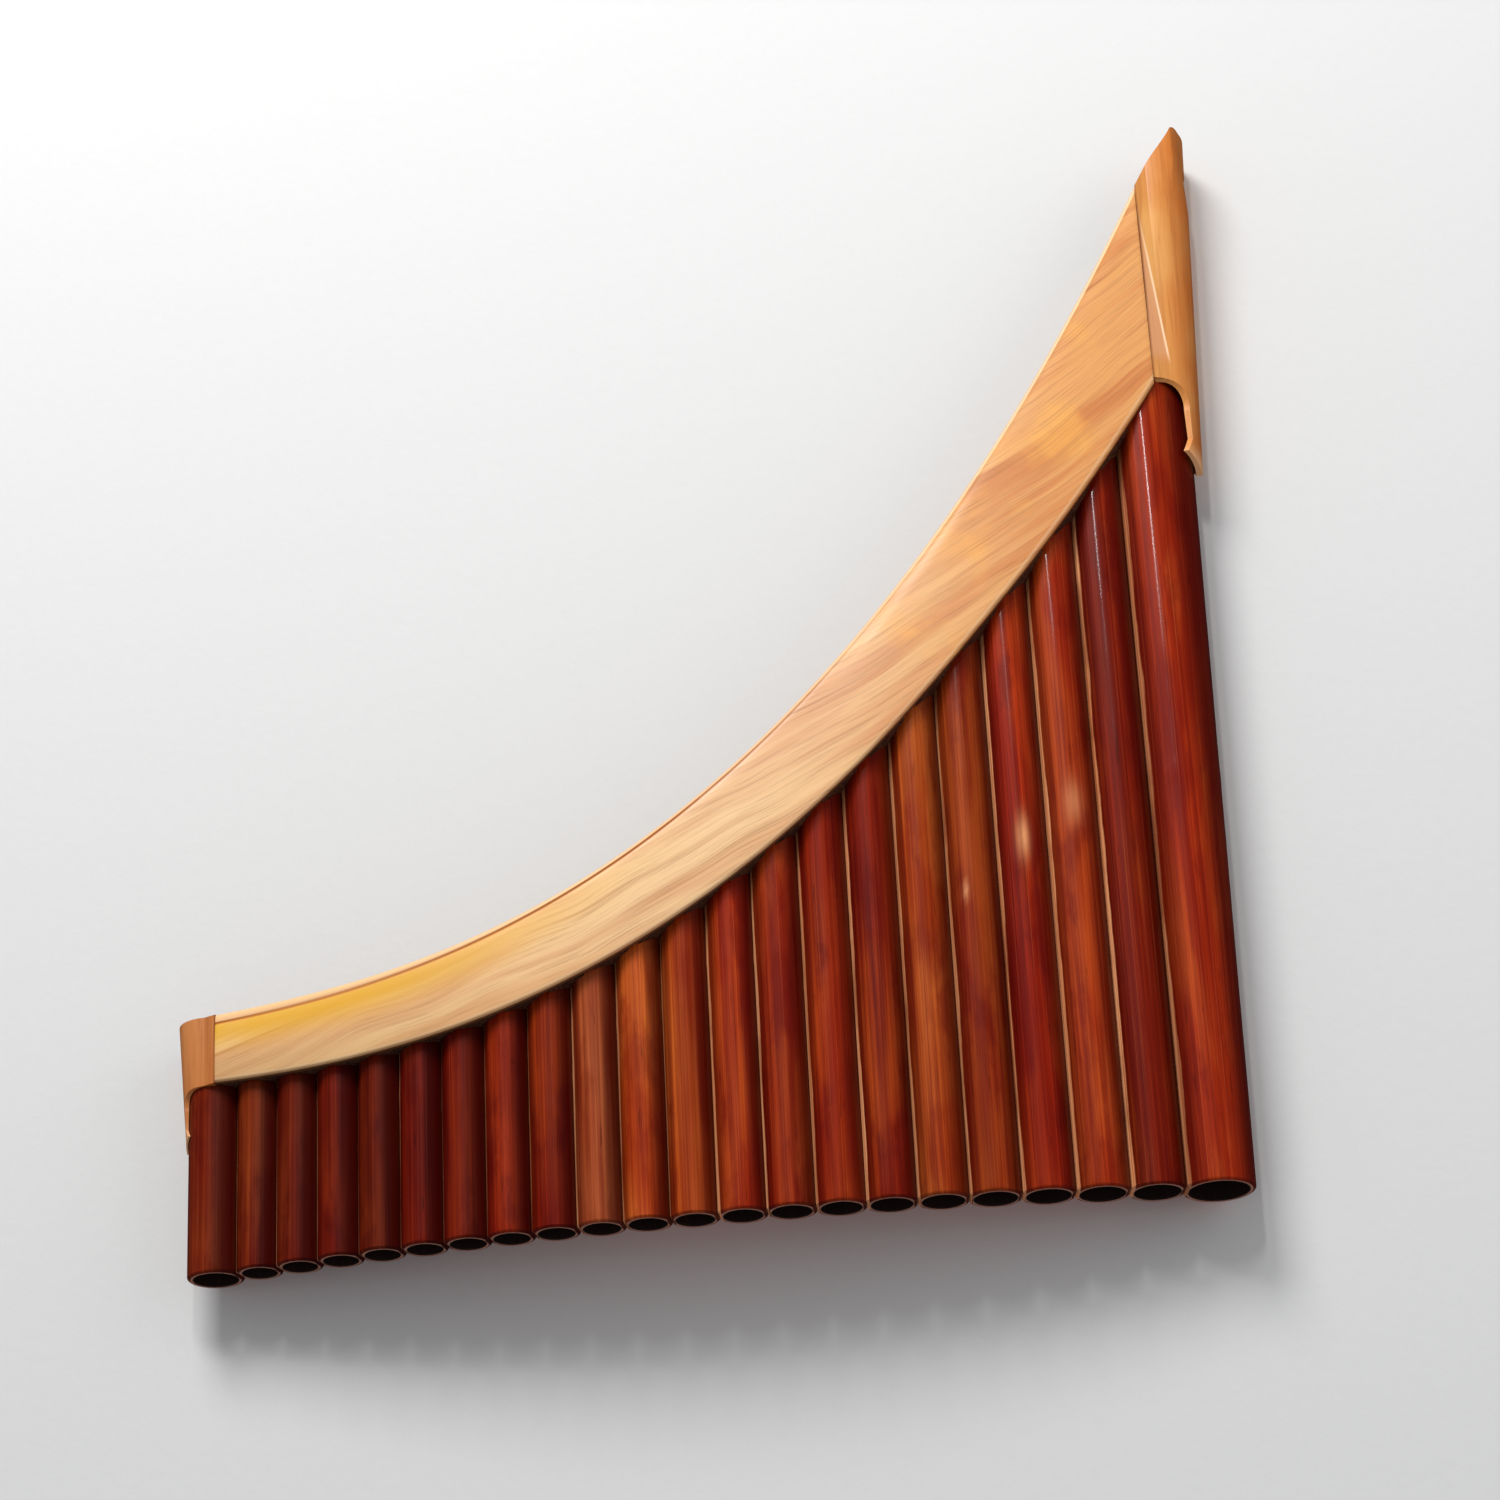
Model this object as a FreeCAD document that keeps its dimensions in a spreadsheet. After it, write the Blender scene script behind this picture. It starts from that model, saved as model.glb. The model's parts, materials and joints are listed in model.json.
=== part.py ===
import FreeCAD, Part
import math
import os

import Sketcher

# Curved pan flute of 22 open bamboo canes, tuned by cork stoppers, held by two wooden bands and two cheeks.
# Millimetres. +Z runs up the canes to the mouths, +X towards the longest cane, -Y to the audience.
# The canes' lower ends stand on Z = 0. The row bows towards -Y and touches Y = 0 at its middle.

doc = FreeCAD.newDocument("pan_flute")

COUNT = 22
NUMBERS = range(1, COUNT + 1)  # cane 1 is the longest and lowest, cane 22 the shortest
MAJOR_SCALE = (0, 2, 4, 5, 7, 9, 11)  # semitones above the key note
TOOL_DEPTH = 90  # front to back reach of the outline tools, well past the flute
TOOL_FLOOR = -10  # level below the canes' feet where they start
TOOL_OVERRUN = 40  # how far the bands' outline is carried on before it is trimmed

DIMENSIONS = {
    # the row of canes
    "row_radius": 700,  # plan radius of the line through the canes' centres
    "short_pitch": 12.96,  # arc length that the shortest canes take up
    "long_pitch": 16.3,  # arc length that the longest canes take up
    "roundness": 0.92,  # half the pitch over the outer radius: the rest is sanded flat
    "outward_lean": 0.0175,  # slope of the longest cane's outer side
    "outer_share": 0.85,  # that side's radius, per radius of the cane
    "end_fullness": 1.22,  # the two outermost canes are this much stouter than the rule
    "wall": 2,
    "glue_line": 0.03,  # left between a cane's flat and the plane halfway to its neighbour
    # the sanded playing edge, one power law over the whole width
    "half_span": 160,
    "short_height": 80,
    "rise": 271,
    "rise_power": 2.555,
    "tip_x": 163.2,  # where the tall corner starts to round over
    "tip_round_x": 168.4,
    "tip_round_z": 345,
    # the bands
    "band_width_short": 21,
    "band_width_long": 28.3,
    "widening_start": 66,  # past about this x the bands widen once more, by
    "widening": 0.09,  # this much per millimetre
    "widening_blend": 8,  # the widening sets in smoothly over this length
    "band_short": 3.2,  # thickness at the short end
    "band_long": 3.8,  # thickness at the tall end
    "bond": 0.2,  # glue between the canes and the wood
    "seat_slack": 0.1,  # play that lets a band's plain curve pass over every cane
    "short_joint": 147.5,  # distance from the middle to the joint between band and short cheek
    "long_joint": 152,
    "butt_gap": 0.1,
    "edge_bevel": 1.1,
    # the cheeks
    "short_cheek_out": 158.6,  # farthest reach at the level of the tongue's point
    "long_cheek_out": 164.1,
    "short_cheek_lean": 0.07,  # outward lean per millimetre of height
    "long_cheek_lean": 0.043,
    "short_cheek_z": 59,  # level of the arch over the outermost cane
    "long_cheek_z": 264,
    "short_tongue": 19,  # drop from the arch to the tongue's point
    "long_tongue": 31,
    "cheek_overlap": 2,  # the cheek's flats start this far inside the joint and are trimmed there
    "cheek_shoulder": 4,  # the flats end this far outside the joint
    "shoulder_fall": 1.2,  # how far the flats have dropped towards the cane by then
    # the tuning
    "sound_speed": 343000,  # mm/s
    "key_note": 392,  # Hz, sounded by cane 1
    "mouth_correction": 0.6,  # of the bore's radius
    "stopper_length": 12,
    "stopper_clearance": 0.05,
}


def fill_sheet():
    """Driving dimensions, one aliased cell each."""
    sheet = doc.addObject("Spreadsheet::Sheet", "dims")
    for row, (alias, value) in enumerate(DIMENSIONS.items(), start=1):
        sheet.set(f"A{row}", alias)
        sheet.set(f"B{row}", str(value))
        sheet.setAlias(f"B{row}", alias)
    doc.recompute()
    return sheet


dims = fill_sheet()


def semitones(number):
    """Steps above the key note of a cane in a major scale."""
    octave, degree = divmod(number - 1, len(MAJOR_SCALE))
    return 12 * octave + MAJOR_SCALE[degree]


def fill_cane_table():
    """One row per cane: every size and place that follows from the driving dimensions."""
    table = doc.addObject("Spreadsheet::Sheet", "canes")
    columns = "ABCDEFGHIJKLM"
    for number in NUMBERS:
        n = f"{number:02d}"
        ends = number in (1, COUNT)
        share = (COUNT - number) / (COUNT - 1)
        before = "0" if number == 1 else f"start_{number - 1:02d} + room_{number - 1:02d}"
        pitch = f"(dims.short_pitch + (dims.long_pitch - dims.short_pitch) * {share:.6f}^2)"
        to_centre = f"room_{n} / 2"
        if ends:
            to_centre = f"radius_{n}" if number == 1 else f"dims.roundness * radius_{n}"
        cells = {
            "radius": f"{pitch} / 2 / dims.roundness * {'dims.end_fullness' if ends else '1'}",
            "room": f"(1 + dims.roundness) * radius_{n}" if ends else pitch,
            "start": before,
            "centre": f"start_{n} + {to_centre}",
            "flat": f"radius_{n} * sqrt(1 - dims.roundness^2)",
            "front": f"(1 + flat_{n} / dims.row_radius) * dims.roundness * radius_{n} - dims.glue_line",
            "rear": f"(1 - flat_{n} / dims.row_radius) * dims.roundness * radius_{n} - dims.glue_line",
            "bore": f"radius_{n} - dims.wall",
            "column": f"dims.sound_speed / 4 / dims.key_note / 2^({semitones(number)} / 12)"
            f" - dims.mouth_correction * bore_{n}",
            "turn": f"(half_row - centre_{n}) / dims.row_radius * 180 / pi",
            "across": f"dims.row_radius * sin(turn_{n})",
            "behind": f"dims.row_radius * (1 - cos(turn_{n}))",
            "mouth": f"dims.short_height + dims.rise"
            f" * ((across_{n} + dims.half_span) / 2 / dims.half_span)^dims.rise_power",
        }
        for column, (name, formula) in zip(columns, cells.items()):
            table.set(f"{column}{number}", f"={formula}")
            table.setAlias(f"{column}{number}", f"{name}_{n}")
    row = COUNT + 1
    whole_row = {
        "half_row": f"(start_{COUNT} + room_{COUNT}) / 2",
        "half_turn": "half_row / dims.row_radius * 180 / pi",
        "short_edge": "dims.short_pitch / 2 / dims.roundness",
        "long_edge": "dims.long_pitch / 2 / dims.roundness",
        "middle_edge": "short_edge + (long_edge - short_edge) / 4",
        "skew": "(long_edge - short_edge) / 2 / sin(half_turn)",
        "flatten": "((long_edge + short_edge) / 2 - middle_edge) / (1 - cos(half_turn))",
        "band_skew": "(dims.band_long - dims.band_short) / 2 / sin(half_turn)",
        "band_middle": "(dims.band_long + dims.band_short) / 2",
    }
    for offset, (name, formula) in enumerate(whole_row.items()):
        table.set(f"A{row + offset}", f"={formula}")
        table.setAlias(f"A{row + offset}", name)
    doc.recompute()
    return table


canes = fill_cane_table()


# ---- shared helpers ----


def plane_of(body, role):
    """One of a body's own origin planes, such as XY_Plane."""
    return next(feature for feature in body.Origin.OriginFeatures if feature.Role == role)


def new_sketch(body, name, role):
    sketch = body.newObject("Sketcher::SketchObject", name)
    sketch.AttachmentSupport = [(plane_of(body, role), "")]
    sketch.MapMode = "FlatFace"
    return sketch


def vector(x, y, z=0):
    return FreeCAD.Vector(x, y, z)


def value_of(sketch, formula):
    return float(sketch.evalExpression(formula))


def bind_point(sketch, geometry, point, x_formula, y_formula=None):
    """Hold a sketch point's coordinates at formulas."""
    for kind, formula in (("DistanceX", x_formula), ("DistanceY", y_formula)):
        if formula is None:
            continue
        constraint = Sketcher.Constraint(kind, -1, 1, geometry, point, value_of(sketch, formula))
        sketch.setExpression(f"Constraints[{sketch.addConstraint(constraint)}]", formula)


def bind_radius(sketch, geometry, formula):
    constraint = Sketcher.Constraint("Radius", geometry, value_of(sketch, formula))
    sketch.setExpression(f"Constraints[{sketch.addConstraint(constraint)}]", formula)


def join(sketch, geometry, point, other, other_point):
    sketch.addConstraint(Sketcher.Constraint("Coincident", geometry, point, other, other_point))


def draw_outline(sketch, corners):
    """Closed outline. A corner is (x, y), or (x, y, via_x, via_y) to leave it on an arc through via."""
    places = [vector(value_of(sketch, corner[0]), value_of(sketch, corner[1])) for corner in corners]
    edges = []
    for place, following, corner in zip(places, places[1:] + places[:1], corners):
        if len(corner) == 2:
            edges.append((sketch.addGeometry(Part.LineSegment(place, following), False), 1, 2))
            continue
        via = vector(value_of(sketch, corner[2]), value_of(sketch, corner[3]))
        arc = sketch.addGeometry(Part.Arc(place, via, following), False)
        gaps = [sketch.getPoint(arc, point).distanceToPoint(place) for point in (1, 2)]
        edges.append((arc, 1, 2) if gaps[0] < gaps[1] else (arc, 2, 1))
        guide = sketch.addGeometry(Part.Point(via), True)
        sketch.addConstraint(Sketcher.Constraint("PointOnObject", guide, 1, arc))
        bind_point(sketch, guide, 1, corner[2], corner[3])
    followers = edges[1:] + edges[:1]
    for (edge, start, end), follower, corner in zip(edges, followers, corners):
        join(sketch, edge, end, follower[0], follower[1])
        bind_point(sketch, edge, start, corner[0], corner[1])


def boolean(kind, name, base, tool):
    result = doc.addObject(kind, name)
    result.Base = base
    result.Tool = tool
    return result


# ---- the outline of the whole flute, seen from the front ----


def span_share(x):
    """How far along the row x lies: 0 at the short end, 1 at the tall one."""
    return max(x + dims.half_span, 0) / 2 / dims.half_span


def edge_height(x):
    """Height of the sanded playing edge."""
    return dims.short_height + dims.rise * span_share(x) ** dims.rise_power


def edge_slope(x):
    steepest = dims.rise * dims.rise_power / 2 / dims.half_span
    return steepest * span_share(x) ** (dims.rise_power - 1)


def band_width(x):
    """Width of the bands across their run: it widens at the short end and again before the tall one."""
    narrowing = (dims.band_width_long - dims.band_width_short) * (1 - span_share(x)) ** 3
    past = x - dims.widening_start
    widening = dims.widening * (math.hypot(past, dims.widening_blend) + past) / 2
    return dims.band_width_long - narrowing + widening


def spread(start, end, count):
    return [start + (end - start) * step / (count - 1) for step in range(count)]


def smooth_edge(points):
    curve = Part.BSplineCurve()
    curve.interpolate(points)
    return curve.toShape()


def closed_prism(edges, name):
    """Solid tool that reaches through the flute from front to back."""
    face = Part.Face(Part.Wire(Part.__sortEdges__(edges)))
    face.translate(vector(0, -TOOL_DEPTH / 2))
    tool = doc.addObject("Part::Feature", name)
    tool.Shape = face.extrude(vector(0, TOOL_DEPTH))
    return tool


def below_edge(name, x_from, x_to):
    """Everything between two uprights that the playing edge leaves standing."""
    curve_end = min(x_to, dims.tip_x)
    top = [vector(x, 0, edge_height(x)) for x in spread(x_from, curve_end, 12)]
    edges = [smooth_edge(top)]
    shoulder = top[-1]
    if x_to > dims.tip_x:
        shoulder = vector(dims.tip_round_x, 0, dims.tip_round_z)
        crown_x = (dims.tip_x + 2 * dims.tip_round_x) / 3
        crown_z = edge_height(dims.tip_x) + 1
        edges.append(Part.Arc(top[-1], vector(crown_x, 0, crown_z), shoulder).toShape())
    far = vector(shoulder.x, 0, TOOL_FLOOR)
    near = vector(x_from, 0, TOOL_FLOOR)
    edges += [Part.makeLine(shoulder, far), Part.makeLine(far, near), Part.makeLine(near, top[0])]
    return closed_prism(edges, name)


def band_outline(name, x_from, x_to):
    """The bands' face: the playing edge above, and a line one band's width below it."""
    stations = spread(x_from - TOOL_OVERRUN, x_to + TOOL_OVERRUN, 20)
    top = [vector(x, 0, edge_height(x)) for x in stations]
    lower = []
    for x in spread(x_from - TOOL_OVERRUN, dims.half_span, 20):
        across = band_width(x) / math.hypot(1, edge_slope(x))
        lower.append(vector(x + across * edge_slope(x), 0, edge_height(x) - across))
    edges = [smooth_edge(top), smooth_edge(lower)]
    edges += [Part.makeLine(top[0], lower[0]), Part.makeLine(top[-1], lower[-1])]
    strip = closed_prism(edges, name)
    corner = vector(x_from, -TOOL_DEPTH / 2, -TOOL_DEPTH)
    slab = Part.makeBox(x_to - x_from, TOOL_DEPTH, 2 * dims.rise, corner)
    strip.Shape = strip.Shape.common(slab)
    return strip


short_end = -dims.half_span - 5  # just outside the short cheek
short_cheek_end = -dims.short_joint - dims.butt_gap
long_cheek_start = dims.long_joint + dims.butt_gap
whole_outline = below_edge("whole_outline", short_end, dims.tip_round_x)
short_cheek_outline = below_edge("short_cheek_outline", short_end, short_cheek_end)
long_cheek_outline = below_edge("long_cheek_outline", long_cheek_start, dims.tip_round_x)
bands_outline = band_outline("bands_outline", -dims.short_joint, dims.long_joint)


# ---- canes ----


def draw_cane_section(sketch, n, left_flat):
    """Round cane with the sides that meet a neighbour sanded flat, and its bore."""
    keys = ("radius", "front", "rear", "flat", "bore")
    radius, front, rear, flat, bore = (canes.get(f"{key}_{n}") for key in keys)
    corners = {
        "front left": vector(-front, -flat),
        "front right": vector(front, -flat),
        "rear right": vector(rear, flat),
        "rear left": vector(-rear, flat),
    }
    if left_flat:
        nose, tail = vector(0, -radius), vector(0, radius)
        arcs = [("front left", nose, "front right"), ("rear right", tail, "rear left")]
    else:
        arcs = [("rear right", vector(-radius, 0), "front right")]
    ends = {}
    for start, via, end in arcs:
        arc = sketch.addGeometry(Part.Arc(corners[start], via, corners[end]), False)
        join(sketch, arc, 3, -1, 1)
        bind_radius(sketch, arc, f"canes.radius_{n}")
        for point in (1, 2):
            place = sketch.getPoint(arc, point)
            name = min((start, end), key=lambda corner: corners[corner].distanceToPoint(place))
            ends[name] = (arc, point)
            sign = "-" if "left" in name else ""
            bind_point(sketch, arc, point, f"{sign}canes.{name.split()[0]}_{n}")
    for side, wanted in (("right", True), ("left", left_flat)):
        if wanted:
            line = Part.LineSegment(corners[f"front {side}"], corners[f"rear {side}"])
            line = sketch.addGeometry(line, False)
            join(sketch, line, 1, *ends[f"front {side}"])
            join(sketch, line, 2, *ends[f"rear {side}"])
    bore_circle = sketch.addGeometry(Part.Circle(vector(0, 0), vector(0, 0, 1), bore), False)
    join(sketch, bore_circle, 3, -1, 1)
    bind_radius(sketch, bore_circle, f"canes.bore_{n}")


def place_in_row(thing, n, height="0"):
    """Stand a thing on cane n's axis, turned to face along the row's radius."""
    thing.setExpression("Placement.Base.x", f"canes.across_{n}")
    thing.setExpression("Placement.Base.y", f"canes.behind_{n}")
    thing.setExpression("Placement.Base.z", height)
    thing.Placement.Rotation = FreeCAD.Rotation(vector(0, 0, 1), 1)
    thing.setExpression("Placement.Rotation.Angle", f"canes.turn_{n}")


def spread_culm(name, extra):
    """The longest cane's skin: its inner half stands upright and its outer half leans out."""
    halves = []
    for half, share, lean, start in (
        ("inner", "1", "0", "0"),
        ("outer", "dims.outer_share", "dims.outward_lean", "dims.wall / 2"),
    ):
        culm = doc.addObject("Part::Cylinder", f"{name}_{half}")
        culm.setExpression("Radius", f"{share} * canes.radius_01 + {extra}")
        culm.setExpression("Height", "dims.rise + 2 * dims.short_height")
        culm.Placement.Rotation = FreeCAD.Rotation(vector(0, 1, 0), 1)
        culm.setExpression("Placement.Rotation.Angle", f"atan({lean})")
        aside = f"(1 - {share}) * (canes.radius_01 - dims.bond)"
        culm.setExpression("Placement.Base.x", f"canes.across_01 + {aside}")
        culm.setExpression("Placement.Base.y", "canes.behind_01")
        culm.setExpression("Placement.Base.z", start)
        halves.append(culm)
    return boolean("Part::Fuse", name, *halves)


def make_longest_cane():
    """Cane 1: its skin widens upwards; it has a straight bore and is sanded flat towards cane 2."""
    bore = doc.addObject("Part::Cylinder", "bore_01")
    bore.setExpression("Radius", "canes.bore_01")
    bore.setExpression("Height", "dims.rise + 2 * dims.short_height")
    place_in_row(bore, "01", str(TOOL_FLOOR))
    tube = boolean("Part::Cut", "tube_01", spread_culm("culm_01", "0"), bore)
    waste = doc.addObject("PartDesign::Body", "waste_01")
    plan = new_sketch(waste, "waste_plan_01", "XY_Plane")
    front_corner = ("canes.rear_01 - 2 * canes.front_01", "-3 * canes.flat_01")
    rear_corner = ("canes.front_01 - 2 * canes.rear_01", "3 * canes.flat_01")
    outside = "-3 * canes.radius_01"
    corners = [front_corner, rear_corner, (outside, rear_corner[1]), (outside, front_corner[1])]
    draw_outline(plan, corners)
    sanded = waste.newObject("PartDesign::Pad", "sanded_01")
    sanded.Profile = plan
    sanded.setExpression("Length", "dims.rise + 2 * dims.short_height")
    place_in_row(waste, "01")
    flattened = boolean("Part::Cut", "flattened_01", tube, waste)
    return boolean("Part::Common", "pipe_01", flattened, whole_outline)


def make_cane(number):
    if number == 1:
        return make_longest_cane()
    n = f"{number:02d}"
    body = doc.addObject("PartDesign::Body", f"cane_{n}")
    section = new_sketch(body, f"cane_section_{n}", "XY_Plane")
    draw_cane_section(section, n, left_flat=number < COUNT)
    culm = body.newObject("PartDesign::Pad", f"culm_{n}")
    culm.Profile = section
    culm.setExpression("Length", f"canes.mouth_{n} + 4 * canes.radius_{n}")
    place_in_row(body, n)
    return boolean("Part::Common", f"pipe_{n}", body, whole_outline)


def make_stopper(number):
    """Cork plug that closes a cane below its air column."""
    n = f"{number:02d}"
    stopper = doc.addObject("Part::Cylinder", f"stopper_{n}")
    stopper.setExpression("Radius", f"canes.bore_{n} - dims.stopper_clearance")
    stopper.setExpression("Height", "dims.stopper_length")
    place_in_row(stopper, n, f"canes.mouth_{n} - canes.column_{n} - dims.stopper_length")
    return stopper


# ---- bands ----


def band_drum(name, side, inset, thickness):
    """Solid drum whose wall is one face of a band; side is 1 for the front band, -1 for the rear one."""
    drum = doc.addObject("Part::Cylinder", name)
    skew = f"(canes.skew + {thickness} * canes.band_skew)"
    reach = f"(canes.middle_edge + canes.flatten + {inset} + {thickness} * canes.band_middle)"
    drum.setExpression("Radius", f"dims.row_radius + {side} * {reach}")
    drum.setExpression("Height", "dims.rise + 2 * dims.short_height")
    drum.setExpression("Placement.Base.x", f"{side} * {skew}")
    drum.setExpression("Placement.Base.y", f"dims.row_radius + {side} * canes.flatten")
    return drum


def make_cane_rooms():
    """Each cane with its glue, which the bands and the fillers are hollowed for."""
    rooms = []
    for number in NUMBERS:
        n = f"{number:02d}"
        room = doc.addObject("Part::Cylinder", f"room_for_cane_{n}")
        room.setExpression("Radius", f"canes.radius_{n} + dims.bond")
        room.setExpression("Height", "dims.rise + 2 * dims.short_height")
        place_in_row(room, n)
        rooms.append(room)
    return rooms


def follows_top(edge):
    """Whether an edge runs along the playing edge, to half a millimetre, for most of the row."""
    middle = (edge.FirstParameter + edge.LastParameter) / 2
    places = [edge.valueAt(at) for at in (edge.FirstParameter, middle, edge.LastParameter)]
    strays = max(abs(place.z - edge_height(place.x)) for place in places)
    return strays < 0.5 and edge.BoundBox.XLength > dims.half_span


def bevelled(name, side, solid, size):
    """Break the long outer edge along the top of a band."""
    doc.recompute()
    long_edges = [
        (side * edge.valueAt(edge.FirstParameter).y, index)
        for index, edge in enumerate(solid.Shape.Edges, start=1)
        if follows_top(edge)
    ]
    chamfer = doc.addObject("Part::Chamfer", name)
    chamfer.Base = solid
    chamfer.Edges = [(min(long_edges)[1], size, size)]
    return chamfer


def make_band(name, side, rooms):
    """Curved strip of wood glued along the canes."""
    face = band_drum(f"{name}_face", side, "dims.bond + dims.seat_slack", 1)
    seat = band_drum(f"{name}_seat", side, "dims.bond + dims.seat_slack", 0)
    outer, inner = (face, seat) if side > 0 else (seat, face)
    ring = boolean("Part::Cut", f"{name}_ring", outer, inner)
    strip = boolean("Part::Common", f"{name}_strip", ring, bands_outline)
    hollowed = boolean("Part::Cut", f"{name}_hollowed", strip, rooms)
    return bevelled(name, side, hollowed, dims.edge_bevel)


def make_filler(name, side, rooms):
    """Wedges of sawdust and glue in the grooves between the canes, behind a band."""
    near_band = band_drum(f"{name}_face", side, "dims.bond - dims.seat_slack", 0)
    row_line = doc.addObject("Part::Cylinder", f"{name}_row_line")
    row_line.setExpression("Radius", "dims.row_radius")
    row_line.setExpression("Height", "dims.rise + 2 * dims.short_height")
    row_line.setExpression("Placement.Base.y", "dims.row_radius")
    outer, inner = (near_band, row_line) if side > 0 else (row_line, near_band)
    ring = boolean("Part::Cut", f"{name}_ring", outer, inner)
    wedges = boolean("Part::Cut", f"{name}_wedges", ring, rooms)
    return boolean("Part::Common", name, wedges, bands_outline)


# ---- cheeks ----


def band_face_y(side, x):
    """Formula for where the outer face of a band, carried on past its end, lies at x."""
    clearances = "dims.bond + dims.seat_slack"
    reach = f"(canes.middle_edge + canes.flatten + {clearances} + canes.band_middle)"
    skew = "(canes.skew + canes.band_skew)"
    return (
        f"dims.row_radius + {side} * canes.flatten"
        f" - sqrt((dims.row_radius + {side} * {reach})^2 - ({x} - {side} * {skew})^2)"
    )


def cheek_section(body, name, end, joint, level, out, middle):
    """Plan of a cheek at one level: flats that carry on the bands' faces, and a round outer side."""
    sketch = new_sketch(body, name, "XY_Plane")
    sketch.setExpression("AttachmentOffset.Base.z", level)
    inner_x = f"{end} * ({joint} - dims.cheek_overlap)"
    shoulder_x = f"{end} * ({joint} + dims.cheek_shoulder)"
    front_shoulder = f"{band_face_y(1, shoulder_x)} + dims.shoulder_fall"
    rear_shoulder = f"{band_face_y(-1, shoulder_x)} - dims.shoulder_fall"
    draw_outline(
        sketch,
        [
            (inner_x, band_face_y(1, inner_x)),
            (shoulder_x, front_shoulder, f"{end} * ({out})", middle),
            (shoulder_x, rear_shoulder),
            (inner_x, band_face_y(-1, inner_x)),
        ],
    )
    return sketch


# Front half of the cut below a cheek, as (distance in front of the cane's axis in cane radii,
# share of the tongue's drop): level to the arch, round by a via point, down the waist, out to the barb.
TONGUE = {
    "short": [(2.2, 0.0), (1.0, 0.05, 0.62, 0.13), (0.47, 0.34), (0.42, 0.66), (0.64, 0.8)],
    "long": [(2.2, 0.0), (0.95, 0.02, 0.7, 0.12), (0.55, 0.34), (0.5, 0.66), (0.66, 0.82)],
}


def tongue_outline(half, radius, middle, arch, drop):
    """Side view of what is cut away below a cheek: an arch each side of a barbed tongue."""

    def corner(sign, step):
        places = []
        for across, down in zip(step[::2], step[1::2]):
            places += [f"{middle} + {sign * across} * {radius}", f"{arch} - {down} * {drop}"]
        return places

    front = [corner(-1, step) for step in half]
    rear = [corner(1, step[:2]) for step in reversed(half)]
    rear[2] += corner(1, half[1][2:])
    tip = [middle, f"{arch} - {drop}"]
    far = half[0][0]
    below = [[f"{middle} + {sign * far} * {radius}", str(TOOL_FLOOR)] for sign in (1, -1)]
    return front + [tip] + rear + below


def make_cheek(name, which, n, end, room, outline):
    """Carved end piece that wraps the outer half of the outermost cane."""
    body = doc.addObject("PartDesign::Body", f"{name}_carving")
    middle = f"canes.behind_{n}"
    joint, out, lean = (f"dims.{which}_{word}" for word in ("joint", "cheek_out", "cheek_lean"))
    arch, drop = f"dims.{which}_cheek_z", f"dims.{which}_tongue"
    foot = f"({arch} - {drop})"
    crown = "(dims.rise + 1.4 * dims.short_height)" if end > 0 else "(1.3 * dims.short_height)"
    out_at_crown = f"{out} + {lean} * ({crown} - {foot})"
    low = cheek_section(body, f"{name}_foot", end, joint, foot, out, middle)
    high = cheek_section(body, f"{name}_crown", end, joint, crown, out_at_crown, middle)
    block = body.newObject("PartDesign::AdditiveLoft", f"{name}_block")
    block.Profile = low
    block.Sections = [high]
    doc.recompute()

    side_view = new_sketch(body, f"{name}_side_view", "YZ_Plane")
    draw_outline(side_view, tongue_outline(TONGUE[which], f"canes.radius_{n}", middle, arch, drop))
    arches = body.newObject("PartDesign::Pocket", f"{name}_arches")
    arches.Profile = side_view
    arches.Type = "ThroughAll"
    arches.Midplane = True
    doc.recompute()
    if not block.Shape.Volume > arches.Shape.Volume > 0:
        raise RuntimeError(f"{name}: the arches cut nothing")
    seated = boolean("Part::Cut", f"{name}_seated", body, room)
    return boolean("Part::Common", name, seated, outline)


# ---- the pieces, and their files ----


rooms = make_cane_rooms()
cane_rooms = doc.addObject("Part::MultiFuse", "cane_rooms")
cane_rooms.Shapes = rooms
pieces = [make_cane(number) for number in NUMBERS]
pieces += [make_stopper(number) for number in NUMBERS]
for place, side in (("front", 1), ("back", -1)):
    pieces.append(make_band(f"{place}_band", side, cane_rooms))
    pieces.append(make_filler(f"{place}_filler", side, cane_rooms))
pieces.append(make_cheek("short_cheek", "short", f"{COUNT:02d}", -1, rooms[-1], short_cheek_outline))
tall_seat = spread_culm("tall_cheek_seat", "dims.bond")
pieces.append(make_cheek("tall_cheek", "long", "01", 1, tall_seat, long_cheek_outline))
doc.recompute()

for piece in doc.Objects:
    if "Invalid" in piece.State or "Error" in piece.State:
        raise RuntimeError(f"{piece.Name} is in state {piece.State}")
for piece in pieces:
    if piece.Shape.isNull() or not piece.Shape.isValid() or not piece.Shape.Solids:
        raise RuntimeError(f"{piece.Label} has no sound solid")

os.makedirs("parts", exist_ok=True)
for piece in pieces:
    piece.Shape.exportStep(f"parts/{piece.Label}.step")
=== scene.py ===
import json
import math
import random

import bpy
import numpy as np
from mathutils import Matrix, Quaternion, Vector, noise
from mathutils.bvhtree import BVHTree


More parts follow.
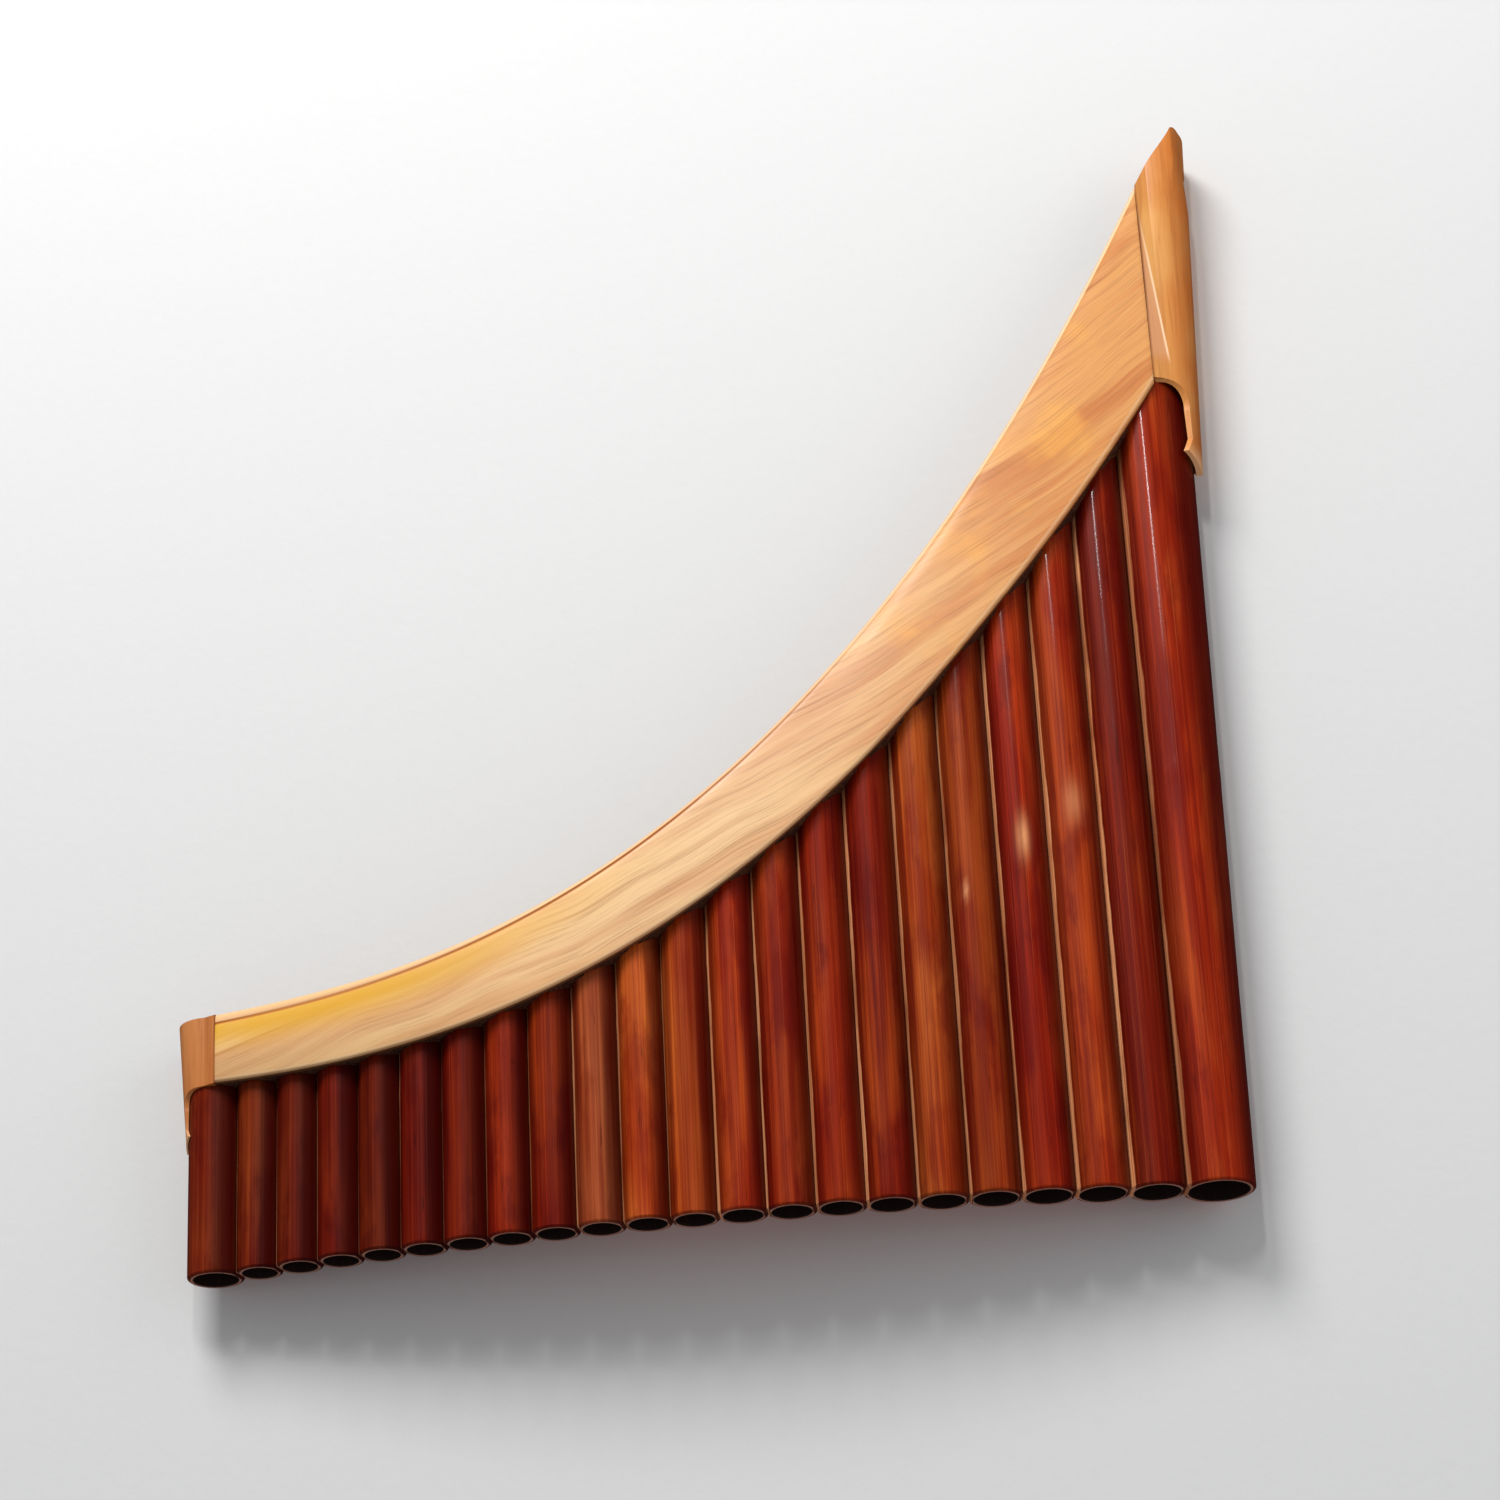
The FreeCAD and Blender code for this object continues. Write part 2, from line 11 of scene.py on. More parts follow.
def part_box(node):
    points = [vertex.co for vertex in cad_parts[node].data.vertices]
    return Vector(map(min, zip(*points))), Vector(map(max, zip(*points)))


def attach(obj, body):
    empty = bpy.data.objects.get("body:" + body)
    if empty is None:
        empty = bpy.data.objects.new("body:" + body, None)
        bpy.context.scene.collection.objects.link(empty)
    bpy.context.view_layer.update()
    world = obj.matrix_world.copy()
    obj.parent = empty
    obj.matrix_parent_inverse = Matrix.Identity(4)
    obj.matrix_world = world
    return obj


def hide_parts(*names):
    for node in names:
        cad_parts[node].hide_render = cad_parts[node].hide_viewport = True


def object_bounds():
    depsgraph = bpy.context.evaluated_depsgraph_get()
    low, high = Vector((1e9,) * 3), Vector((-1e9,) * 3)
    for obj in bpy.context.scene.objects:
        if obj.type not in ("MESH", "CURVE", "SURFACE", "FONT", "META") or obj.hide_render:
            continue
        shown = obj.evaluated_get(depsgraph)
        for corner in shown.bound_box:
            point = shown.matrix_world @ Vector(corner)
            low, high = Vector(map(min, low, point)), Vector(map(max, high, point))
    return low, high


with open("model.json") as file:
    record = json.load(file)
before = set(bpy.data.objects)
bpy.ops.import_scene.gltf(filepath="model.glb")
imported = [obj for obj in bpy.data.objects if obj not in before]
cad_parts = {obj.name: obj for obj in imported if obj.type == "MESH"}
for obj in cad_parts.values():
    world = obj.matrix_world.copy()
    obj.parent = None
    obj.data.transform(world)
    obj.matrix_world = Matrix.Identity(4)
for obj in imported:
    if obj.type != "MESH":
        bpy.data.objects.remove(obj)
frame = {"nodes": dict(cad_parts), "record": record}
cad_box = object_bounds()

MM = 0.001
LOW, HIGH = cad_box
CENTRE, SIZE = (LOW + HIGH) / 2, HIGH - LOW
CANES = sorted(name for name in frame["nodes"] if name.startswith("pipe_"))


# ---- reading the frame ----

STOPPER_PLAY = 0.05 * MM
FOOT_DEPTH = 0.5 * MM  # corners lower than this outline a pipe's foot
LEAN_SLACK = 0.5 * MM  # overhang that doesn't count as a lean
WALL_PROBE = 0.5 * MM  # from the bore to the ring on which the mouth's height is read
FLAT_DEPTH = 0.78  # of the radius, from a flat's front edge to its rear edge
ROUND_SIDE = 0.97  # of the radius; a side that reaches further has no flat


def ramp(value, start, end):
    """0 up to start, 1 from end on, and straight in between."""
    return np.clip((value - start) / (end - start), 0, 1)


def smooth(share):
    return share * share * (3 - 2 * share)


def points_of(name):
    """Corners of a CAD node's mesh, one row each."""
    mesh = frame["nodes"][name].data
    flat = np.zeros(len(mesh.vertices) * 3, np.float32)
    mesh.vertices.foreach_get("co", flat)
    return flat.reshape(-1, 3).astype(float)


def tree_of(name):
    """A CAD node's mesh, ready for rays."""
    mesh = frame["nodes"][name].data
    corners = [vertex.co[:] for vertex in mesh.vertices]
    return BVHTree.FromPolygons(corners, [polygon.vertices[:] for polygon in mesh.polygons])


class Cane:
    """Section and place of one CAD pipe, in the frame's metres."""

    row_radius = None

    def __init__(self, name):
        self.name = name
        self.number = int(name[-2:])
        low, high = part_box(f"stopper_{self.number:02d}")
        self.x, self.y = (low.x + high.x) / 2, (low.y + high.y) / 2
        self.bore = (high.x - low.x) / 2 + STOPPER_PLAY
        corners = points_of(name)
        foot = corners[corners[:, 2] < FOOT_DEPTH]
        self.radius = np.ptp(foot[:, 1]) / 2
        if Cane.row_radius is None:
            Cane.row_radius = (self.x**2 + self.y**2) / 2 / self.y
        self.turn = math.atan2(self.x, Cane.row_radius - self.y)
        self.along = np.array([math.cos(self.turn), math.sin(self.turn)])
        self.rearwards = np.array([-math.sin(self.turn), math.cos(self.turn)])
        local = (foot[:, :2] - (self.x, self.y)) @ np.column_stack([self.along, self.rearwards])
        front, rear = local[local[:, 1] < 0], local[local[:, 1] > 0]
        self.flats = [(-front[:, 0].min(), -rear[:, 0].min()), (front[:, 0].max(), rear[:, 0].max())]
        outermost = corners[np.argmax(corners[:, 0])]
        overhang = outermost[0] - foot[:, 0].max() - LEAN_SLACK
        self.lean = max(overhang, 0) / max(outermost[2], 1 * MM)
        tree = tree_of(name)
        wall = self.bore + WALL_PROBE
        turns = np.linspace(0, 2 * math.pi, 24)
        ring = [self.place(wall * math.sin(turn), wall * math.cos(turn)) for turn in turns]
        self.top = np.array([tree.ray_cast(Vector((x, y, 1)), Vector((0, 0, -1)))[0] for x, y in ring])

    def flat_at(self, side, rearward):
        """Reach of the flat (or of the round) on one side, at a distance behind the axis."""
        front, rear = self.flats[side]
        if front > ROUND_SIDE * self.radius:
            return self.radius
        share = rearward / (FLAT_DEPTH * self.radius) + 0.5
        return front + (rear - front) * min(max(share, 0), 1)

    def place(self, across, rearward):
        """Frame x and y of a point given in the pipe's own axes."""
        return np.array([self.x, self.y]) + across * self.along + rearward * self.rearwards

    def spread(self, section, heights):
        """Outline moved out by the lean at each point's height; only the longest pipe leans."""
        outer_share = np.clip(section[:, 0] / self.radius, 0, 1) ** 1.5
        return section + np.column_stack([outer_share * self.lean * heights, np.zeros(len(section))])


canes = [Cane(name) for name in CANES]
rims = np.vstack([cane.top for cane in canes])
rims = rims[np.argsort(rims[:, 0])]
edge_law = np.polynomial.Polynomial.fit(rims[:, 0], rims[:, 2], 9)
edge_slope = edge_law.deriv()
TIP_START = 0.155  # x where the slimming starts
TIP_END, TIP_CORNER = 0.1632, 0.1684  # x where the CAD's tall corner starts and stops rounding over
TIP_SHIFT, TIP_DROP, CORNER_TUCK = 2.0 * MM, 1.5 * MM, 0.7 * MM


def at_tip(x):
    """Shift outwards and drop that slim the tall end's tip, at an x of the CAD shape."""
    share = smooth(ramp(x, TIP_START, TIP_END))
    shift = share * TIP_SHIFT - np.interp(x, [TIP_END, TIP_CORNER], [0, TIP_SHIFT + CORNER_TUCK])
    return shift, share * TIP_DROP


tip_xs = np.linspace(LOW.x, TIP_END, 1200)
tip_shift, tip_drop = at_tip(tip_xs)
slim_xs, slim_heights = tip_xs + tip_shift, edge_law(tip_xs) - tip_drop


def top_edge(x):
    """Height of the flute's top edge, with its tip slimmed."""
    return np.interp(x, slim_xs, slim_heights)


# ---- building meshes ----


def make_piece(name, vertices, faces, body="flute"):
    """New object that rides on a body, or that stands still if body is None."""
    mesh = bpy.data.meshes.new(name)
    mesh.from_pydata([tuple(vertex) for vertex in vertices], [], faces)
    mesh.validate()
    mesh.update()
    piece = bpy.data.objects.new(name, mesh)
    bpy.context.scene.collection.objects.link(piece)
    if body:
        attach(piece, body)
    return piece


def give(piece, attribute, values):
    """Store one number or one triple per vertex for the material to read."""
    values = np.asarray(values, np.float32)
    kind, field = ("FLOAT", "value") if values.ndim == 1 else ("FLOAT_VECTOR", "vector")
    store = piece.data.attributes.new(attribute, kind, "POINT")
    store.data.foreach_set(field, values.ravel())


def grid_faces(rows, columns, wrap_rows, wrap_columns):
    """Quads over a rows-by-columns grid of vertices, closed up where it wraps."""
    faces = []
    for row in range(rows if wrap_rows else rows - 1):
        for column in range(columns if wrap_columns else columns - 1):
            here, beyond = row * columns, (row + 1) % rows * columns
            beside = (column + 1) % columns
            faces.append((here + column, here + beside, beyond + beside, beyond + column))
    return faces


def shade(piece, angle):
    """Smooth shading, but sharp at edges over the angle in degrees."""
    for polygon in piece.data.polygons:
        polygon.use_smooth = True
    piece.data.set_sharp_from_angle(angle=math.radians(angle))


def wear_edges(piece, width, angle):
    """Round off the edges over the angle in degrees."""
    wear = piece.modifiers.new("worn_edge", "BEVEL")
    wear.width = width
    wear.segments = 3
    wear.limit_method = "ANGLE"
    wear.angle_limit = math.radians(angle)
    wear.harden_normals = False


def wander(seed, *place):
    """Smooth noise between -1 and 1 that repeats for the same seed and place."""
    return noise.noise(Vector((*place, 0, 0)[:3]) + Vector((seed * 17.3, seed * 5.1, seed * 2.7)))


# ---- shader helpers ----


class Shader:
    """Node tree of one material."""

    def __init__(self, name):
        self.material = bpy.data.materials.new(name)
        self.material.use_nodes = True
        self.tree = self.material.node_tree
        self.tree.nodes.clear()

    def node(self, kind, inputs, output=0, **settings):
        made = self.tree.nodes.new(f"ShaderNode{kind}")
        for key, value in settings.items():
            setattr(made, key, value)
        for key, value in inputs.items():
            socket = made.inputs[key]
            if isinstance(value, bpy.types.NodeSocket):
                self.tree.links.new(value, socket)
            else:
                socket.default_value = value
        return made.outputs[output]

    def math(self, operation, a, b=0.0, clamp=False):
        return self.node("Math", {0: a, 1: b}, operation=operation, use_clamp=clamp)

    def attribute(self, name, output="Fac"):
        return self.node("Attribute", {}, output, attribute_name=name)

    def split(self, vector):
        made = self.tree.nodes.new("ShaderNodeSeparateXYZ")
        self.tree.links.new(vector, made.inputs[0])
        return made.outputs

    def join(self, x, y, z):
        return self.node("CombineXYZ", {0: x, 1: y, 2: z})

    def scaled(self, vector, x, y, z):
        return self.node("VectorMath", {0: vector, 1: (x, y, z)}, operation="MULTIPLY")

    def grain(self, vector, scale=1.0, detail=3.0, rough=0.55, distortion=0.0):
        inputs = {"Vector": vector, "Scale": scale, "Detail": detail, "Roughness": rough}
        return self.node("TexNoise", {**inputs, "Distortion": distortion})

    def step(self, value, low, high, at_low=0.0, at_high=1.0):
        """Smooth step from at_low to at_high as the value goes from low to high."""
        inputs = {"Value": value, "From Min": low, "From Max": high, "To Min": at_low, "To Max": at_high}
        return self.node("MapRange", inputs, interpolation_type="SMOOTHSTEP")

    def mix(self, share, a, b, blend="MIX"):
        a, b = ((*value, 1.0) if isinstance(value, tuple) else value for value in (a, b))
        return self.node("Mix", {0: share, 6: a, 7: b}, 2, data_type="RGBA", blend_type=blend)

    def bump(self, height, strength, distance):
        return self.node("Bump", {"Height": height, "Strength": strength, "Distance": distance})

    def finish(self, **surface):
        """Glossy surface from inputs written with _ for each space."""
        names = {key.replace("_", " "): value for key, value in surface.items()}
        shader = self.node("BsdfPrincipled", names)
        self.node_out(shader)
        return self.material

    def node_out(self, shader):
        out = self.tree.nodes.new("ShaderNodeOutputMaterial")
        self.tree.links.new(shader, out.inputs[0])


def flat(red, green, blue):
    """Linear colour from screen values of 0 to 255."""
    return tuple((value / 255) ** 2.2 for value in (red, green, blue))


# ---- materials ----


def cane_material(slot, base, amber, deep):
    """Stained and lacquered bamboo: long fibres, drifting stain, a sanded pale left edge that is partly
    painted light, painted shade on the flanks, painted highlight spots, glossy coat.
    """
    s = Shader(slot)
    place = s.attribute("cane_place", "Vector")
    side = s.attribute("cane_side")
    spot = s.attribute("cane_spot")
    raw_lit_left, shift, _ = s.split(s.attribute("cane_raw", "Vector"))
    fibre = s.grain(s.scaled(place, 2600, 9, 1), 1, 4, 0.6)
    streak = s.grain(s.scaled(place, 700, 6, 1), 1, 3, 0.6)
    broad = s.grain(s.scaled(place, 240, 9, 1), 1, 2, 0.5)
    drift = s.grain(s.scaled(place, 60, 13, 1), 1, 2, 0.5)
    cloud = s.grain(s.scaled(place, 110, 34, 1), 1, 4, 0.6)
    colour = s.mix(s.step(s.math("ADD", drift, shift), 0.4, 0.64), base, amber)
    colour = s.mix(s.step(streak, 0.4, 0.7, 0.55, 0), colour, deep)
    colour = s.mix(s.step(broad, 0.5, 0.68, 0, 0.6), colour, deep)
    patch = s.grain(s.scaled(place, 90, 17, 1), 1, 3, 0.5)
    colour = s.mix(s.step(patch, 0.53, 0.68, 0, 0.5), colour, amber)
    colour = s.mix(s.step(patch, 0.32, 0.46, 0.65, 0), colour, deep)
    colour = s.mix(s.step(cloud, 0.52, 0.7, 0, 0.6), colour, deep)
    speck = s.grain(s.scaled(place, 800, 55, 1), 1, 3)
    colour = s.mix(s.step(speck, 0.66, 0.74, 0, 0.5), colour, flat(50, 8, 2))
    colour = s.mix(s.step(fibre, 0.34, 0.6, 0.3, 0), colour, flat(60, 9, 3))
    colour = s.mix(s.step(fibre, 0.56, 0.74, 0, 0.16), colour, flat(214, 120, 66))
    colour = s.mix(1.0, colour, s.attribute("cane_tone", "Color"), "MULTIPLY")
    # Painted shade: darker on each pipe's right flank, and a little on its far left flank, where the round
    # turns away from the light.
    waver = s.math("MULTIPLY", s.math("SUBTRACT", streak, 0.5), 0.3)
    rightness = s.math("ADD", side, waver)
    colour = s.mix(s.step(rightness, 0.25, 0.8, 0, 0.75), colour, flat(62, 8, 3))
    colour = s.mix(s.step(rightness, -0.76, -0.42, 0.62, 0), colour, flat(68, 10, 4))
    # Painted highlight: pale spots where light catches a pipe, broken up by the streaks.
    spot_highlight = s.math("MULTIPLY", spot, s.step(streak, 0.3, 0.62, 0.45, 0.9))
    colour = s.mix(spot_highlight, colour, flat(226, 158, 106))
    # Pale strip at each pipe's left edge: raw sanded wood, and painted light in that only the left strip,
    # which faces the light, is pale.
    wobble = s.grain(s.scaled(place, 30, 30, 1), 1, 4)
    wobble = s.math("MULTIPLY", s.math("SUBTRACT", wobble, 0.5), 0.16)
    leftwards = s.math("SUBTRACT", wobble, side)
    thin = s.math("MULTIPLY", s.math("SUBTRACT", 1.0, raw_lit_left), 0.09)
    raw_and_lit = s.math("MULTIPLY", s.step(s.math("SUBTRACT", leftwards, thin), 0.785, 0.82), raw_lit_left)
    fade = s.grain(s.scaled(place, 20, 24, 1), 1, 3)
    raw_and_lit = s.math("MULTIPLY", raw_and_lit, s.step(fade, 0.32, 0.5, 0.5, 1))
    pale = s.mix(s.step(fibre, 0.35, 0.65), flat(178, 98, 58), flat(232, 164, 116))
    colour = s.mix(raw_and_lit, colour, pale)
    height = s.math("ADD", s.math("MULTIPLY", fibre, 0.5), s.math("MULTIPLY", streak, 0.6))
    return s.finish(
        Base_Color=colour,
        Roughness=s.step(fibre, 0.3, 0.7, 0.36, 0.5),
        Specular_IOR_Level=0.07,
        Coat_Weight=s.step(raw_and_lit, 0, 1, 0.26, 0.04),
        Coat_Roughness=s.step(cloud, 0.3, 0.7, 0.07, 0.16),
        Normal=s.bump(height, 0.5, 0.12 * MM),
    )


def cut_material():
    """Sawn bamboo end: pale wall with dark vessel dots and a lacquer wash."""
    s = Shader("cane_cut")
    place = s.node("TexCoord", {}, "Object")
    dots = s.node("TexVoronoi", {"Vector": place, "Scale": 1500.0}, "Distance")
    cloud = s.grain(place, 90, 3)
    colour = s.mix(cloud, flat(150, 92, 74), flat(186, 132, 108))
    colour = s.mix(s.step(dots, 0.1, 0.4, 0.6, 0), colour, flat(82, 36, 26))
    return s.finish(Base_Color=colour, Roughness=0.5, Coat_Weight=0.25, Normal=s.bump(dots, 0.3, 0.1 * MM))


def bore_material():
    """Matt inside of a pipe, dark as painted shade of the hollow."""
    s = Shader("cane_bore")
    place = s.attribute("cane_place", "Vector")
    streak = s.grain(s.scaled(place, 900, 14, 1), 1, 3)
    # Painted shade: the bore is coloured dark where the hollow lies in shade.
    colour = s.mix(streak, flat(30, 14, 10), flat(62, 34, 24))
    return s.finish(Base_Color=colour, Roughness=0.7, Normal=s.bump(streak, 0.4, 0.15 * MM))


# The lip along a band's top: its width in mm, and where along the band (0 to 1) it and its crease change.
LIP_AT_SHORT_END, LIP_ELSEWHERE = 2.9, 1.4
LIP_EVEN_FROM = 0.5
CREASE_FADES = (0.45, 0.75)


def band_material():
    """Figured fruitwood, yellow at the short end and orange at the tall one, with a slanting grain; painted
    highlights on the lip and lower edge, painted shade on the underside.
    """
    s = Shader("band_wood")
    place = s.node("TexCoord", {}, "Object")
    x, y, z = s.split(place)
    along, top, low = s.split(s.attribute("band_place", "Vector"))
    warp = s.math("MULTIPLY", s.math("SUBTRACT", s.grain(s.scaled(place, 11, 11, 11), 1, 2), 0.5), 0.02)
    reach = s.math("ADD", x, 0.15)
    bend = s.math("MULTIPLY", s.math("MULTIPLY", reach, reach), 0.95)
    rise = s.math("ADD", s.math("MULTIPLY", reach, 0.2), bend)
    over_grain = s.math("ADD", s.math("SUBTRACT", z, rise), warp)
    wood = s.join(x, over_grain, y)
    fine = s.grain(s.scaled(wood, 45, 1500, 60), 1, 4, 0.65)
    line = s.grain(s.scaled(wood, 7, 420, 16), 1, 3, 0.6, 0.4)
    figure = s.grain(s.scaled(wood, 9, 95, 10), 1, 3, 0.6, 0.5)
    cluster = s.grain(s.scaled(wood, 9, 34, 10), 1, 2, 0.5)
    cloud = s.grain(s.scaled(place, 30, 30, 30), 1, 3, 0.5)
    pale = s.mix(s.step(along, 0.5, 0.95), flat(228, 186, 134), flat(218, 153, 91))
    tan = s.mix(s.step(along, 0.5, 0.95), flat(210, 156, 108), flat(200, 124, 70))
    colour = s.mix(s.step(figure, 0.38, 0.64), pale, tan)
    patches = s.math("MULTIPLY", s.step(cloud, 0.5, 0.68), s.step(along, 0.5, 0.75, 0, 0.65))
    colour = s.mix(patches, colour, flat(236, 168, 82))
    browns = s.math("MULTIPLY", s.step(line, 0.49, 0.7), s.step(cluster, 0.46, 0.62, 0.12, 0.75))
    colour = s.mix(browns, colour, flat(170, 104, 58))
    colour = s.mix(s.step(fine, 0.46, 0.72, 0, 0.42), colour, flat(146, 98, 64))
    yellow = s.math("MULTIPLY", s.step(along, 0.14, 0.54, 1, 0), s.step(top, 5 * MM, 16 * MM, 1, 0.1))
    yellow = s.math("MULTIPLY", yellow, s.step(cloud, 0.3, 0.5, 0.75, 1))
    colour = s.mix(s.math("MULTIPLY", yellow, 0.9), colour, flat(218, 160, 34))
    grey = s.math("MULTIPLY", s.step(along, 0.05, 0.4, 0.5, 0), s.step(top, 10 * MM, 20 * MM))
    colour = s.mix(grey, colour, flat(186, 146, 100))
    # Painted highlight: the lip along the top is pale where its rounding catches the light.
    lip_width = s.step(along, 0.0, LIP_EVEN_FROM, LIP_AT_SHORT_END * MM, LIP_ELSEWHERE * MM)
    from_lip = s.math("SUBTRACT", top, lip_width)
    lip = s.step(from_lip, -0.35 * MM, 0.05 * MM, 1, 0)
    colour = s.mix(s.math("MULTIPLY", lip, 0.85), colour, flat(240, 188, 140))
    crease = s.math("ABSOLUTE", s.math("SUBTRACT", from_lip, 0.2 * MM))
    fading = s.step(along, *CREASE_FADES, 0.9, 0)
    crease = s.math("MULTIPLY", s.step(crease, 0.15 * MM, 0.7 * MM, 1, 0), fading)
    colour = s.mix(crease, colour, flat(168, 92, 34))
    # Painted highlight: a pale line along the bevel of the lower edge.
    lower_edge_highlight = s.math("ABSOLUTE", s.math("SUBTRACT", low, 0.9 * MM))
    colour = s.mix(s.step(lower_edge_highlight, 0.1 * MM, 0.6 * MM, 0.3, 0), colour, flat(246, 208, 164))
    # Painted shade: the underside is coloured dark.
    colour = s.mix(s.step(low, 0, 0.12 * MM, 0.85, 0), colour, flat(74, 32, 14))
    height = s.math("ADD", s.math("MULTIPLY", fine, 0.35), s.math("MULTIPLY", line, 0.6))
    return s.finish(
        Base_Color=colour,
        Roughness=s.step(line, 0.3, 0.7, 0.36, 0.48),
        Specular_IOR_Level=0.3,
        Coat_Weight=0.15,
        Coat_Roughness=0.2,
        Normal=s.bump(height, 0.3, 0.15 * MM),
    )


# Painted facet and painted highlight ridge of the tall cheek, in colour only: how far its bright ridge is
# from the seam at one level, the ridge's slant in x per metre of height, and the heights over which the
# facet comes and goes.
RIDGE_FROM_SEAM, RIDGE_LEVEL, RIDGE_SLANT = 4.9 * MM, 0.275, -0.0935
FACET_STARTS, FACET_ENDS = (0.268, 0.274), (0.3, 0.33)


def cheek_material(node, warm, light, dark, seam_x, has_facet):
    """Smoother wood of an end cheek: upright grain, painted shade darker towards high x, painted highlight
    on the pale barb at the foot, dark seam beside the band.
    """
    s = Shader(f"{node}_wood")
    place = s.node("TexCoord", {}, "Object")
    warp = s.grain(s.scaled(place, 30, 30, 12), 1, 2)
    warp = s.scaled(s.join(warp, warp, 0.0), 0.006, 0.006, 0)
    wood = s.node("VectorMath", {0: place, 1: warp}, operation="ADD")
    fine = s.grain(s.scaled(wood, 1500, 1500, 40), 1, 4, 0.6)
    line = s.grain(s.scaled(wood, 330, 330, 9), 1, 3, 0.55, 0.4)
    cloud = s.grain(s.scaled(place, 40, 40, 22), 1, 3)
    low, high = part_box(node)
    x, _, z = s.split(place)
    clouds = s.step(cloud, 0.3, 0.7, -0.25, 0.25)
    # Painted shade: lighter towards low x and darker towards high x, as the light falls from the left; the
    # clouds are the wood's own.
    lightness = s.math("ADD", s.step(x, low.x, high.x, 0.75, 0.2), clouds, clamp=True)
    colour = s.mix(lightness, warm, light)
    colour = s.mix(s.step(line, 0.48, 0.72, 0, 0.35), colour, dark)
    colour = s.mix(s.step(fine, 0.45, 0.75, 0, 0.3), colour, dark)
    if has_facet:
        # Painted light: a facet in a paler shade, and a painted highlight along its ridge.
        slant = s.math("MULTIPLY", s.math("SUBTRACT", z, RIDGE_LEVEL), RIDGE_SLANT)
        beyond = s.math("SUBTRACT", x, s.math("ADD", seam_x + RIDGE_FROM_SEAM, slant))
        extent = s.math("MULTIPLY", s.step(z, *FACET_ENDS, 1, 0), s.step(z, *FACET_STARTS))
        painted_facet = s.step(beyond, -0.5 * MM, 0.2 * MM, 0.7, 0)
        colour = s.mix(s.math("MULTIPLY", painted_facet, extent), colour, flat(206, 146, 106))
        ridge_highlight = s.step(s.math("ABSOLUTE", beyond), 0.1 * MM, 0.5 * MM, 0.9, 0)
        colour = s.mix(s.math("MULTIPLY", ridge_highlight, extent), colour, flat(248, 206, 166))
    # Painted highlight on the barb at the foot.
    barb_highlight = s.step(z, low.z + 2 * MM, low.z + 10 * MM, 0.75, 0)
    colour = s.mix(barb_highlight, colour, flat(232, 178, 130))
    seam = s.step(s.math("ABSOLUTE", s.math("SUBTRACT", x, seam_x)), 0.1 * MM, 0.9 * MM, 0.75, 0)
    colour = s.mix(s.math("MULTIPLY", seam, s.step(cloud, 0.3, 0.6, 0.4, 1)), colour, flat(120, 60, 26))
    height = s.math("ADD", s.math("MULTIPLY", fine, 0.35), s.math("MULTIPLY", line, 0.6))
    return s.finish(
        Base_Color=colour,
        Roughness=0.42,
        Specular_IOR_Level=0.3,
        Coat_Weight=0.15,
        Coat_Roughness=0.2,
        Normal=s.bump(height, 0.3, 0.12 * MM),
    )


def cork_material():
    """Cork: tinted grains with dark gaps and pits."""
    s = Shader("cork")
    place = s.node("TexCoord", {}, "Object")
    grains = s.node("TexVoronoi", {"Vector": place, "Scale": 700.0}, "Color")
    gaps = s.node("TexVoronoi", {"Vector": place, "Scale": 700.0}, "Distance", feature="DISTANCE_TO_EDGE")
    pits = s.grain(place, 420, 4, 0.6)
    colour = s.mix(s.split(grains)[0], flat(176, 132, 88), flat(206, 166, 116))
    colour = s.mix(s.step(gaps, 0.0, 0.08, 0.7, 0), colour, flat(96, 62, 38))
    colour = s.mix(s.step(pits, 0.55, 0.7, 0, 0.8), colour, flat(80, 48, 30))
    height = s.math("SUBTRACT", s.step(gaps, 0.0, 0.1), s.step(pits, 0.55, 0.7, 0, 1.5))
    return s.finish(Base_Color=colour, Roughness=0.85, Normal=s.bump(height, 0.6, 0.2 * MM))


def filler_material():
    """Crumbly filler between the pipes and a band, dark as painted shade under the band."""
    s = Shader("filler")
    place = s.node("TexCoord", {}, "Object")
    crumbs = s.grain(place, 1100, 5, 0.7)
    cloud = s.grain(place, 120, 3)
    # Painted shade: dark colours, as the filler sits in the shade under the band.
    colour = s.mix(s.step(crumbs, 0.35, 0.65), flat(66, 32, 18), flat(106, 62, 38))
    colour = s.mix(s.step(cloud, 0.4, 0.7, 0, 0.5), colour, flat(54, 22, 12))
    return s.finish(Base_Color=colour, Roughness=0.75, Normal=s.bump(crumbs, 0.6, 0.2 * MM))


def paper_material(name, tint):
    """Plain pale surface that shows only its front, so that it never hides the flute."""
    s = Shader(name)
    place = s.node("TexCoord", {}, "Object")
    tooth = s.grain(place, 260, 4, 0.6)
    colour = s.mix(tooth, tint, tuple(value * 0.97 for value in tint))
    surface = {"Base Color": colour, "Roughness": 0.85, "Normal": s.bump(tooth, 0.1, MM)}
    paper = s.node("BsdfPrincipled", surface)
    clear = s.node("BsdfTransparent", {})
    behind = s.node("NewGeometry", {}, "Backfacing")
    s.node_out(s.node("MixShader", {0: behind, 1: paper, 2: clear}))
    return s.material


# ---- pipes ----

